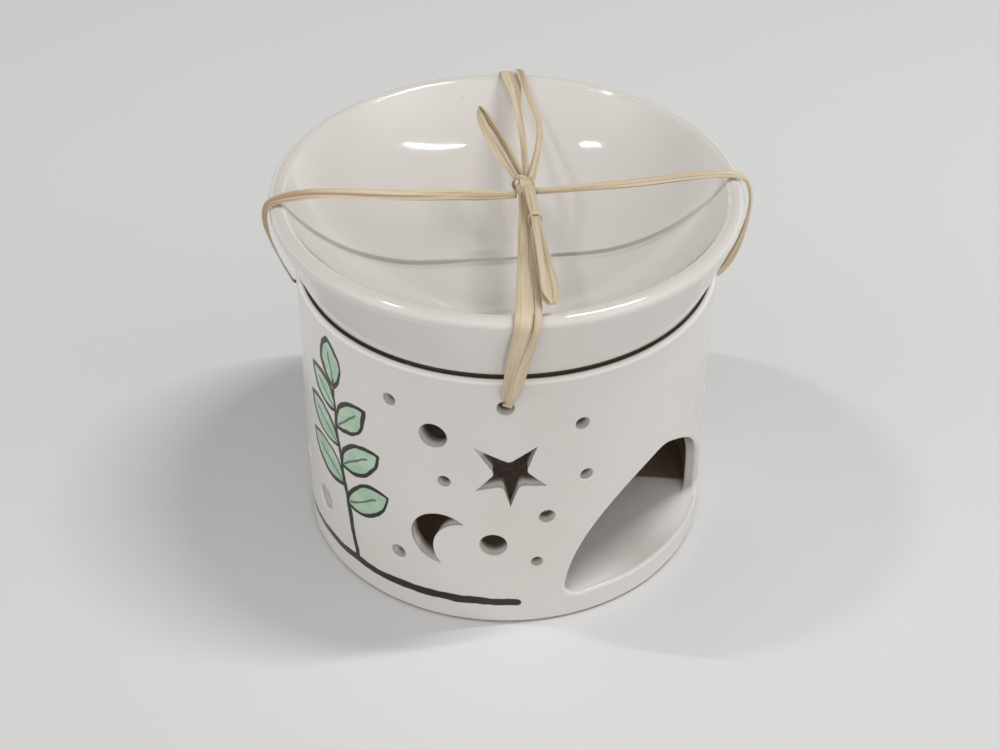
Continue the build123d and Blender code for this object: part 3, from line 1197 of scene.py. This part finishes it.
@dataclass(frozen=True)
class Strand:
    """One length of raffia: its route in the tie's frame, strips and facts as a cord, in mm."""

    name: str
    node: str
    route: tuple[Point, ...]
    plies: tuple[Ply, ...]
    length: float
    width: float
    exit_last: bool = True
    far_end: FarEnd = FarEnd.KNOT
    lie: Lie = Lie.TAUT
    bodies: tuple[Body, ...] = (Body.BURNER, Body.BOWL)
    width_dir: Point | None = None

    def build(self, finish: bpy.types.Material,
              stretch: tuple[Point, Point]) -> tuple[bpy.types.Object, np.ndarray]:
        """Makes the strand's mesh along its spline, parents it to its body where it rides on one
        alone, and hides its solid.

        Args:
            finish: The raffia material.
            stretch: Where the strand stops following the pot, and where it follows the bowl; not
                used.

        Returns:
            The piece and the line that it follows.
        """
        line = spline_line(tie_to_part(self.route))
        if self.width_dir is None:
            level = even_rows(line, STRIP_STEP)[0] * (1.0, 1.0, 0.0)
            near = np.linalg.norm(level, axis=1, keepdims=True)
            flat = unit(level) * np.clip(near / FLAT_REACH, 0.0, 1.0) + (0.0, 0.0, 1.0)
            patches = [ply.surface(line, flat, True) for ply in self.plies]
        else:
            wide = tie_to_part(self.width_dir)[0] / MM
            patches = [ply.surface(line, wide, False) for ply in self.plies]
        piece = mesh_piece(self.name, patches, finish)
        if len(self.bodies) == 2:
            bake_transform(piece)
        else:
            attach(piece, self.bodies[0].value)
        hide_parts(self.node)
        return piece, line

    def declare(self, piece: bpy.types.Object, line: np.ndarray, others: list) -> None:
        """Works out the strand's width in metres, and keeps nothing of it.

        Args:
            piece: The strand's mesh; not used.
            line: The line that it follows; not used.
            others: Separate pieces that are on it; not used.
        """
        self.width * MM


def loop_route(start: Point, tip: Point, normal: Point, outline: tuple) -> tuple[Point, ...]:
    """Puts a loop's outline on its plane: first numbers along start to tip, second ones beside it.

    Args:
        start: Where the loop leaves the knot, in the tie's frame in mm.
        tip: A point that the loop's middle line runs towards.
        normal: The plane's normal, roughly.
        outline: Pairs of distance along and distance beside the middle line, in mm.

    Returns:
        The points of the outline in the tie's frame, in mm.
    """
    ahead = unit(np.subtract(tip, start))
    up = np.asarray(normal, dtype=float)
    up = unit(up - np.dot(up, ahead) * ahead)
    pairs = np.asarray(outline, dtype=float)
    rows = np.asarray(start) + pairs[:, :1] * ahead + pairs[:, 1:] * np.cross(up, ahead)
    return tuple(map(tuple, rows.tolist()))


@dataclass
class RaffiaTie:
    """The raffia that ties bowl to pot: four strands, a second ply, a bow and two hidden runs."""

    stretch_low: Point = (0.0, 0.0, 0.074)
    stretch_high: Point = (0.0, 0.0, 0.097)
    knot_centre: Point = (4.6, -2.8, 101.2)
    knot_radii: Point = (2.2, 2.7, 1.9)
    pinch: Point = (6.9, -20.6, 103.1)
    upper_normal: Point = (0.133, -0.116, 0.984)
    lower_normal: Point = (-1.0, -0.0965, 0.0)
    strands: tuple[Strand, ...] = (
        Strand(
            "raffia_front", "raffia_front_strand",
            (
                (4.2, -4.8, 100.5), (4.6, -30.0, 101.2), (5.2, -52.0, 102.2), (5.1, -58.8, 101.7),
                (4.7, -61.3, 99.0), (3.2, -60.2, 91.0), (1.2, -57.2, 79.0), (0.6, -55.3, 74.1),
                (0.5, -54.4, 72.9), (0.4, -53.4, 72.8),
            ),
            (
                Ply(
                    ((0, 1.9), (0.1, 2.1), (0.2, 2.6), (0.4, 3.3), (0.55, 3.9), (0.66, 4.3),
                     (0.75, 3.5), (0.84, 2.7), (0.93, 2.5), (1, 2.0)),
                    side=((0, -0.2), (0.2, -0.4), (0.4, -0.75), (0.55, -1.0), (0.66, -1.1),
                          (0.75, -1.1), (0.84, -1.15), (0.93, -0.85), (1, -0.35)),
                    lift=((0, 0.1), (1, 0.1)),
                    seed=3,
                ),
                Ply(
                    ((0, 1.0), (0.2, 1.3), (0.4, 1.7), (0.55, 1.9), (0.66, 2.0), (0.75, 2.1),
                     (0.84, 2.5), (0.93, 2.4), (1, 1.8)),
                    side=((0, 0.7), (0.2, 1.05), (0.4, 1.55), (0.55, 2.05), (0.66, 2.25),
                          (0.75, 1.75), (0.84, 1.3), (0.93, 0.9), (1, 0.4)),
                    lift=((0, -0.15), (0.6, -0.05), (0.8, -0.15), (1, -0.2)),
                    seed=8,
                ),
            ),
            length=84.3, width=5.6,
        ),
        Strand(
            "raffia_back", "raffia_back_strand",
            (
                (4.9, 0.6, 100.7), (5.0, 14.0, 101.0), (3.2, 38.0, 101.4), (1.4, 58.3, 101.8),
                (0.9, 61.3, 99.2), (0.7, 60.6, 91.0), (0.2, 57.2, 79.0), (0.0, 55.3, 74.1),
                (0.0, 54.4, 72.9), (0.0, 53.4, 72.8),
            ),
            (
                Ply(
                    ((0, 1.7), (0.2, 1.9), (0.42, 2.0), (0.52, 3.6), (0.6, 5.4), (0.66, 5.8),
                     (0.82, 4.2), (1, 2.6)),
                    side=((0, 0.0), (0.5, 0.2), (0.62, 0.5), (0.8, 0.2), (1, 0.0)),
                    seed=12,
                ),
            ),
            length=89.2, width=4.0,
        ),
        Strand(
            "raffia_left", "raffia_left_strand",
            (
                (2.6, -4.0, 99.9), (-26.5, -7.0, 101.3), (-47.0, -9.2, 103.6),
                (-58.6, -11.0, 102.4), (-60.3, -12.0, 99.0), (-59.6, -12.6, 93.5),
                (-57.2, -10.4, 84.5), (-55.7, -6.6, 77.0), (-55.1, -4.2, 73.4),
                (-54.6, -1.9, 71.8), (-53.4, -1.2, 71.8),
            ),
            (
                Ply(
                    ((0, 1.8), (0.1, 2.7), (0.4, 2.9), (0.6, 2.7), (0.68, 1.8),
                     (0.76, 1.1), (1, 0.9)),
                    twist=((0, -50), (0.12, -36), (0.3, -30), (0.62, -30), (0.72, -40), (1, -40)),
                    seed=17,
                ),
            ),
            length=93.6, width=3.2,
        ),
        Strand(
            "raffia_right", "raffia_right_strand",
            (
                (7.3, -3.6, 100.8), (30.0, -0.6, 101.2), (50.0, 2.2, 102.6), (59.8, 3.3, 102.2),
                (62.4, 3.2, 98.0), (62.7, 2.6, 91.5), (60.4, 1.4, 82.5), (57.2, 0.5, 76.0),
                (55.3, 0.1, 73.8), (54.4, 0.0, 72.8), (53.4, 0.0, 72.7),
            ),
            (
                Ply(
                    ((0, 1.3), (0.1, 1.4), (0.5, 1.3), (0.64, 1.1), (0.74, 1.2), (0.82, 1.8),
                     (0.88, 2.7), (0.92, 2.7), (0.97, 1.7), (1, 1.1)),
                    side=((0, 0.1), (0.3, 0.35), (0.6, 0.35), (0.75, 0.0), (1, 0.0)),
                    twist=((0, 40), (0.12, 30), (0.64, 30), (0.74, 42), (0.84, 66),
                           (0.93, 70), (1, 40)),
                    seed=21,
                    creases=0.8,
                ),
                Ply(
                    ((0, 0.6), (0.3, 0.7), (0.62, 0.7), (0.72, 0.5), (1, 0.5)),
                    side=((0, -0.6), (0.3, -0.85), (0.62, -0.8), (0.75, -0.2), (1, 0.0)),
                    lift=((0, -0.2), (0.6, -0.1), (0.75, -0.3), (1, -0.3)),
                    twist=((0, 40), (0.12, 30), (0.64, 30), (1, 30)),
                    seed=26,
                    creases=0.8,
                ),
            ),
            length=83.6, width=3.2,
        ),
        Strand(
            "raffia_back_second", "raffia_back_ply",
            (
                (6.0, -0.6, 102.0), (8.0, 12.0, 102.5), (9.2, 26.0, 102.8), (6.0, 42.0, 102.6),
                (3.6, 57.2, 102.5),
            ),
            (Ply(((0, 2.3), (0.2, 1.8), (0.45, 1.9), (0.7, 2.1), (1, 2.6)), seed=31),),
            length=57.1, width=2.4, lie=Lie.LOOSE, bodies=(Body.BOWL,),
        ),
        Strand(
            "raffia_loop_upper", "raffia_upper_loop",
            loop_route(
                (3.0, 0.2, 102.7), (-7.0, 26.4, 107.0), upper_normal,
                (
                    (0, 0.8), (9, 1.5), (19, 1.6), (26, 1.0), (29.2, 0.35), (29.2, -0.35),
                    (26, -0.7), (19, -1.3), (9, -1.3), (0, -0.8),
                ),
            ),
            (
                Ply(
                    ((0, 2.0), (0.2, 2.6), (0.44, 2.4), (0.5, 1.8), (0.56, 2.2),
                     (0.75, 2.2), (1, 2.0)),
                    twist=((0, 10), (0.15, 42), (0.4, 42), (0.5, 0), (0.62, -36),
                           (0.9, -36), (1, -10)),
                    seed=35,
                ),
            ),
            length=58.1, width=3.0, exit_last=False, lie=Lie.LOOSE, bodies=(Body.BOWL,),
            width_dir=upper_normal,
        ),
        Strand(
            "raffia_loop_lower", "raffia_lower_loop",
            loop_route(
                (5.4, -5.4, 102.6), (10.4, -57.2, 103.7), lower_normal,
                (
                    (0, 0.9), (10, 1.6), (15, 1.3), (30, 2.0), (46.5, 1.5), (52.0, 0.6),
                    (52.0, -0.3), (46.5, -0.7), (30, -0.7), (15, -0.6), (10, -0.7), (0, -0.8),
                ),
            ),
            (
                Ply(
                    ((0, 2.4), (0.1, 2.5), (0.145, 1.9), (0.2, 2.5), (0.3, 3.0), (0.4, 3.7),
                     (0.445, 4.2), (0.462, 4.0), (0.475, 3.4), (0.485, 2.6), (0.492, 1.7),
                     (0.5, 1.0), (0.508, 1.7), (0.515, 2.6), (0.525, 3.4), (0.538, 4.0),
                     (0.555, 4.2), (0.6, 3.5), (0.7, 3.0), (0.8, 2.5), (0.855, 1.9), (0.9, 2.3),
                     (1, 2.3)),
                    seed=41,
                    curl=0.3,
                ),
            ),
            length=104.1, width=4.4, exit_last=False, lie=Lie.LOOSE, bodies=(Body.BOWL,),
            width_dir=lower_normal,
        ),
        Strand(
            "raffia_under_front_to_back", "raffia_run_front_to_back",
            (
                (0.4, -53.6, 72.7), (0.2, -46.0, 71.6), (0.0, 0.0, 71.3), (0.0, 46.0, 71.6),
                (0.0, 53.6, 72.7),
            ),
            (Ply(((0, 3.0), (1, 3.0)), seed=47),),
            length=109.6, width=3.4, exit_last=False, far_end=FarEnd.OBJECT, bodies=(Body.BURNER,),
        ),
        Strand(
            "raffia_under_left_to_right", "raffia_run_left_to_right",
            (
                (-53.6, -0.8, 72.2), (-46.0, 0.0, 71.3), (0.0, 0.0, 70.0), (46.0, 0.0, 71.3),
                (53.6, 0.0, 72.6),
            ),
            (Ply(((0, 3.0), (1, 3.0)), seed=53),),
            length=109.6, width=3.4, exit_last=False, far_end=FarEnd.OBJECT, bodies=(Body.BURNER,),
        ),
    )

    def wrap(self, centre: Point, axis: Point, radii: tuple[float, float], width: float,
             turns: float, lead: float, seed: int) -> Patch:
        """A strip wound round an axis: an oval helix about the centre, its width along the axis.

        Args:
            centre: The middle of the wrap, in the tie's frame in mm.
            axis: The direction that the strip is wound round.
            radii: The oval's half sizes, sideways and upwards, in mm.
            width: The strip's width in mm.
            turns: How many times it goes round.
            lead: How far one turn moves along the axis, in mm.
            seed: Draws the strip's unevenness.

        Returns:
            The wound strip.
        """
        along_axis = unit(np.asarray(axis, dtype=float))
        side = unit(np.cross(along_axis, (0.0, 0.0, 1.0)))
        up = np.cross(side, along_axis)
        points_per_turn, growth, start = 40, 0.05, -0.25
        turned = np.linspace(start, turns + start, int(points_per_turn * turns))[:, None]
        angle = 2.0 * math.pi * turned
        shift = (turned - 0.5 * turns - start) * lead
        grow = 1.0 + growth * turned
        rows = np.asarray(centre) + grow * radii[0] * np.cos(angle) * side
        rows = rows + grow * radii[1] * np.sin(angle) * up + shift * along_axis
        ends = width * 0.8
        ply = Ply(
            ((0, ends), (0.2, width), (0.8, width), (1, ends)), seed=seed, curl=0.3, crease=0.1
        )
        direction = tie_to_part(tuple(along_axis))[0] / MM
        return ply.surface(tie_to_part(rows), direction, False, WRAP_STEP)

    def core(self) -> Patch:
        """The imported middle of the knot: an uneven egg shape, closed at both ends.

        Returns:
            The egg.
        """
        rows, cols, tip_gap = 14, 24, 0.08
        end = 0.5 * math.pi - tip_gap
        lat = np.linspace(-end, end, rows)[:, None]
        lon = round_angles(cols)[None, :]
        bulge = 1.0 + 0.06 * np.sin(3.0 * lon + 4.0 * lat)
        x = self.knot_radii[0] * np.cos(lat) * np.cos(lon) * bulge
        y = self.knot_radii[1] * np.cos(lat) * np.sin(lon) * bulge
        z = self.knot_radii[2] * np.sin(lat) * np.ones_like(lon)
        points = np.stack([x, y, z], axis=-1) + np.asarray(self.knot_centre)
        down = np.linspace(0.0, 6.0 * MM, rows)[:, None]
        strip = flat_map(down, np.linspace(0.0, 14.0 * MM, cols + 1))
        return Patch(tie_to_part(points).reshape(rows, cols, 3), strip)

    def knot(self, finish: bpy.types.Material) -> bpy.types.Object:
        """Makes the knot: a packed middle, strips over and round it, and one that pinches the bow.

        Args:
            finish: The raffia material.

        Returns:
            The knot's mesh.
        """
        x, y, z = self.knot_centre
        patches = [
            self.core(),
            self.wrap((x + 0.5, y - 0.6, z), (1.0, 0.16, 0.0), (3.2, 2.4),
                      width=3.4, turns=1.15, lead=0.2, seed=61),
            self.wrap((x - 0.8, y + 1.5, z), (0.4, 1.0, 0.1), (2.2, 2.2),
                      width=1.7, turns=1.4, lead=0.9, seed=67),
            self.wrap(self.pinch, (0.1, -1.0, 0.0), (1.45, 1.75),
                      width=1.0, turns=1.1, lead=0.2, seed=71),
        ]
        piece = mesh_piece("raffia_knot_wrap", patches, finish)
        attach(piece, Body.BOWL.value)
        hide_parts("raffia_knot")
        return piece

    def build(self, finish: bpy.types.Material) -> None:
        """Args:
            finish: The raffia material.
        """
        stretch = (self.stretch_low, self.stretch_high)
        made = [(strand, *strand.build(finish, stretch)) for strand in self.strands]
        knot = self.knot(finish)
        for strand, piece, line in made:
            strand.declare(piece, line, [knot] if strand.name == "raffia_front" else [])


@dataclass
class Ceramics:
    """The pot and the bowl, whose solids stay and get their glazes."""

    pot_node: str = "burner_body"
    bowl_node: str = "oil_bowl"
    pot: PotGlaze = field(default_factory=PotGlaze)
    bowl: BowlGlaze = field(default_factory=BowlGlaze)
    painting: SprigPainting = field(default_factory=SprigPainting)

    def dress(self, effects: Effects) -> None:
        """Gives both solids their glazes."""
        dress_node(self.pot_node, self.pot.build(effects, self.painting))
        dress_node(self.bowl_node, self.bowl.build(effects))


def dress_node(node: str, finish: bpy.types.Material) -> None:
    """Puts one finish on every material slot of a solid.

    Args:
        node: The solid's name.
        finish: Its material.
    """
    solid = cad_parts[node]
    for slot in solid.material_slots:
        slot.material = finish
    LOG.info("%s: dressed with %s", node, finish.name)


@dataclass
class TeaLight:
    """The tea light on the pot's floor: solid cup and tab, modelled wax and wick, in mm."""

    setback: float = 15.0
    floor_top: float = 7.5
    cup_wall: float = 0.5
    wax_radius: float = 18.45
    wax_level: float = 12.5
    wax_dish: float = 0.45
    wax_climb: float = 0.35
    climb_reach: float = 0.7
    wax_hill: float = 0.7
    hill_reach: float = 0.9
    wick_radius: float = 0.8
    wick_show: float = 7.0
    wick_pitch: float = 5.2
    wick_lean: float = 0.9
    aluminium: MetalFinish = MetalFinish(
        "cup_aluminium", (0.86, 0.86, 0.87, 1.0), (0.62, 0.62, 0.63, 1.0), 26.0, 0.27
    )
    steel: MetalFinish = MetalFinish(
        "tab_steel", (0.60, 0.59, 0.57, 1.0), (0.40, 0.39, 0.38, 1.0), 10.0, 0.38
    )
    wax: WaxFinish = field(default_factory=WaxFinish)
    cotton: CottonFinish = field(default_factory=CottonFinish)

    def wax_piece(self) -> bpy.types.Object:
        """Makes the wax: a turned profile, dished on top, that climbs the cup's wall and the wick.

        Returns:
            The wax as a closed mesh.
        """
        low = self.floor_top + self.cup_wall + 0.5
        top = self.floor_top + self.cup_wall + self.wax_level
        bore = self.wick_radius + 0.1
        rows, cols = 34, 96
        out = np.linspace(self.wax_radius, bore, rows)
        edge = self.wax_climb * np.exp(-(self.wax_radius - out) / self.climb_reach)
        hill = self.wax_hill * np.exp(-(out - self.wick_radius) / self.hill_reach)
        dish = -self.wax_dish * (1.0 - (out / self.wax_radius) ** 2)
        upper = np.column_stack([out, top - self.wax_climb + dish + edge + hill])
        wall = [[bore, low], [self.wax_radius - 1.0, low], [self.wax_radius, low + 1.0]]
        profile = np.vstack([wall, upper])
        angle = round_angles(cols)
        ripple = 0.05 * np.sin(3.0 * angle + 0.6) + 0.03 * np.sin(7.0 * angle)
        tall = np.repeat(profile[:, 1:], cols, axis=1)
        top_rows = slice(len(wall), None)
        tall[top_rows] += 0.8 * ripple[None, :] * (profile[top_rows, :1] / self.wax_radius) ** 2
        across = profile[:, :1] * np.sin(angle)
        deep = self.setback - profile[:, :1] * np.cos(angle)
        points = np.stack([across, deep, tall], axis=-1)
        down = np.linspace(0.0, 50.0 * MM, len(profile))[:, None]
        strip = flat_map(down, np.linspace(0.0, 100.0 * MM, cols + 1))
        piece = mesh_piece("tea_light_wax_pool", [Patch(points * MM, strip)], self.wax.build())
        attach(piece, Body.TEA_LIGHT.value)
        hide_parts("tea_light_wax")
        return piece

    def wick_piece(self, effects: Effects) -> bpy.types.Object:
        """Makes the wick: three lobes twisted about a line that leans a little near its top.

        Args:
            effects: The shared node groups.

        Returns:
            The wick as a closed mesh.
        """
        low = self.floor_top + self.cup_wall
        high = low + self.wax_level + self.wick_show
        rows, cols = 110, 30
        tall = np.linspace(low, high, rows)[:, None]
        angle = round_angles(cols)[None, :]
        twist = 2.0 * math.pi * tall / self.wick_pitch
        lobes = 0.80 + 0.20 * np.abs(np.cos(1.5 * (angle + twist)))
        ends = np.clip((high - tall) / 0.6, 0.55, 1.0)
        radius = self.wick_radius * lobes * ends
        free = np.clip((tall - low - self.wax_level) / self.wick_show, 0.0, 1.0)
        lean = self.wick_lean * free**2
        x = radius * np.cos(angle) + lean * 0.6
        y = self.setback + radius * np.sin(angle) - lean * 0.4
        points = np.stack([x, y, tall * np.ones_like(angle)], axis=-1)
        strip = flat_map(tall * MM, np.linspace(0.0, 5.0 * MM, cols + 1) + tall * MM)
        cotton = self.cotton.build(effects)
        piece = mesh_piece("tea_light_wick_plait", [Patch(points * MM, strip)], cotton)
        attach(piece, Body.TEA_LIGHT.value)
        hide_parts("tea_light_wick")
        return piece

    def build(self, effects: Effects) -> None:
        """Dresses the cup and the tab, and makes the wax and the wick.

        Args:
            effects: The shared node groups.
        """
        dress_node("tea_light_cup", self.aluminium.build(effects))
        dress_node("tea_light_wick_tab", self.steel.build(effects))
        self.wax_piece()
        self.wick_piece(effects)


def stood(right: np.ndarray, up: np.ndarray, back: np.ndarray, place: np.ndarray) -> Matrix:
    """The matrix of something that stands in the tie's frame.

    Args:
        right: Its own X direction.
        up: Its own Y direction.
        back: Its own Z direction.
        place: Its place in mm.

    Returns:
        The matrix in the part's frame.
    """
    columns = np.vstack([tie_to_part(np.vstack([right, up, back])) / MM, tie_to_part(place)])
    matrix = np.eye(4)
    matrix[:3, :] = columns.T
    return Matrix(matrix.tolist())


@dataclass(frozen=True)
class Lamp:
    """A flat lamp in the tie's frame: middle in mm, directions, size in m, radiance."""

    name: str
    place: Point
    right: Point
    size: tuple[float, float]
    radiance: float
    back: Point = (0.0, 0.0, 1.0)

    def hang(self) -> None:
        """Adds the lamp, as bright as its size and radiance ask."""
        data = bpy.data.lights.new(self.name, "AREA")
        data.shape = "RECTANGLE"
        data.size, data.size_y = self.size
        data.energy = math.pi * self.radiance * self.size[0] * self.size[1]
        back, right = unit(np.asarray(self.back)), unit(np.asarray(self.right))
        lamp = bpy.data.objects.new(self.name, data)
        lamp.matrix_world = stood(right, np.cross(back, right), back, np.asarray(self.place))
        bpy.context.scene.collection.objects.link(lamp)


@dataclass(frozen=True)
class Glow:
    """A soft bright patch of sky: the way to it in the tie's frame, its strength and narrowness."""

    way: Point
    strength: float
    focus: float = 12.0


@dataclass(frozen=True)
class Studio:
    """Floor, lamps, sky light and camera, in the tie's frame, which faces the camera."""

    focal_px: float = 1828.8
    frame_px: float = 1000.0
    sensor_mm: float = 36.0
    pitch: float = 37.298
    roll: float = 0.30
    target: Point = (-1.386, 0.0, 40.0)
    distance: float = 498.02
    floor_half: float = 3.0
    floor_drop: float = 0.02
    sky: Colour = (1.0, 1.0, 1.0, 1.0)
    sky_low: float = 1.1
    sky_high: float = 0.12
    sky_rise: float = 0.5
    glows: tuple[Glow, ...] = (
        Glow((0.765, -0.407, 0.5), 1.3),
        Glow((-0.765, -0.407, 0.5), 1.2),
        Glow((0.0, -0.766, 0.643), 1.05),
    )
    lamps: tuple[Lamp, ...] = (
        Lamp("bar_right", (428.0, 10.0, 1050.0), (0.985, 0.172, 0.0), (0.414, 0.009), 450.0),
        Lamp("bar_left", (-489.0, -1.0, 1050.0), (0.983, -0.182, 0.0), (0.132, 0.009), 450.0),
    )

    def camera(self) -> None:
        """Sets the camera where the photograph was taken, by pitch, roll, distance and lens."""
        data = bpy.data.cameras.new("camera")
        data.sensor_width = self.sensor_mm
        data.lens = self.sensor_mm * self.focal_px / self.frame_px
        data.clip_start = 0.01
        data.clip_end = 50.0
        p, r = math.radians(self.pitch), math.radians(self.roll)
        back = np.array([0.0, -math.cos(p), math.sin(p)])
        right, up = np.array([1.0, 0.0, 0.0]), np.array([0.0, math.sin(p), math.cos(p)])
        right, up = math.cos(r) * right + math.sin(r) * up, math.cos(r) * up - math.sin(r) * right
        camera = bpy.data.objects.new("camera", data)
        camera.matrix_world = stood(right, up, back, np.asarray(self.target) + back * self.distance)
        bpy.context.scene.collection.objects.link(camera)
        bpy.context.scene.camera = camera

    def floor(self) -> None:
        """Lays the pale floor just under the pot's foot."""
        half = self.floor_half
        mesh = bpy.data.meshes.new("floor")
        corners = [(-half, -half), (half, -half), (half, half), (-half, half)]
        mesh.from_pydata([(x, y, -self.floor_drop * MM) for x, y in corners], [], [(0, 1, 2, 3)])
        mesh.materials.append(FloorFinish().build())
        floor = bpy.data.objects.new("floor", mesh)
        bpy.context.scene.collection.objects.link(floor)

    def build(self) -> None:
        """Sets the view transform, sky, lamps, floor and camera.

        The sky falls from a bright horizon to a dimmer top, with a soft glow on each side and in
        front.
        """
        scene = bpy.context.scene
        scene.view_settings.view_transform = "Standard"
        world = bpy.data.worlds.new("sky")
        scene.world = world
        world.use_nodes = True
        g = Graph(world.node_tree)
        sky = world.node_tree.nodes["Background"]
        sky.inputs[0].default_value = self.sky
        way = g.value("ShaderNodeTexCoord", output="Generated")
        rise = g.split(way)[2].step(0.0, self.sky_rise)
        strength = g.blend_value(rise, self.sky_low, self.sky_high)
        for glow in self.glows:
            aim = tuple(tie_to_part(glow.way)[0] / MM)
            facing = g.vector("DOT_PRODUCT", way, aim, "Value").larger(0.0)
            strength = strength + facing**glow.focus * glow.strength
        g.feed(sky.inputs[1], strength)
        for lamp in self.lamps:
            lamp.hang()
        self.floor()
        self.camera()


def main() -> None:
    """Builds the studio, the tie, the ceramics and the tea light."""
    logging.basicConfig(level=logging.INFO, format="%(name)s %(message)s")
    Studio().build()
    effects = Effects()
    RaffiaTie().build(RaffiaFinish().build(effects))
    Ceramics().dress(effects)
    TeaLight().build(effects)


if __name__ == "__main__":
    main()
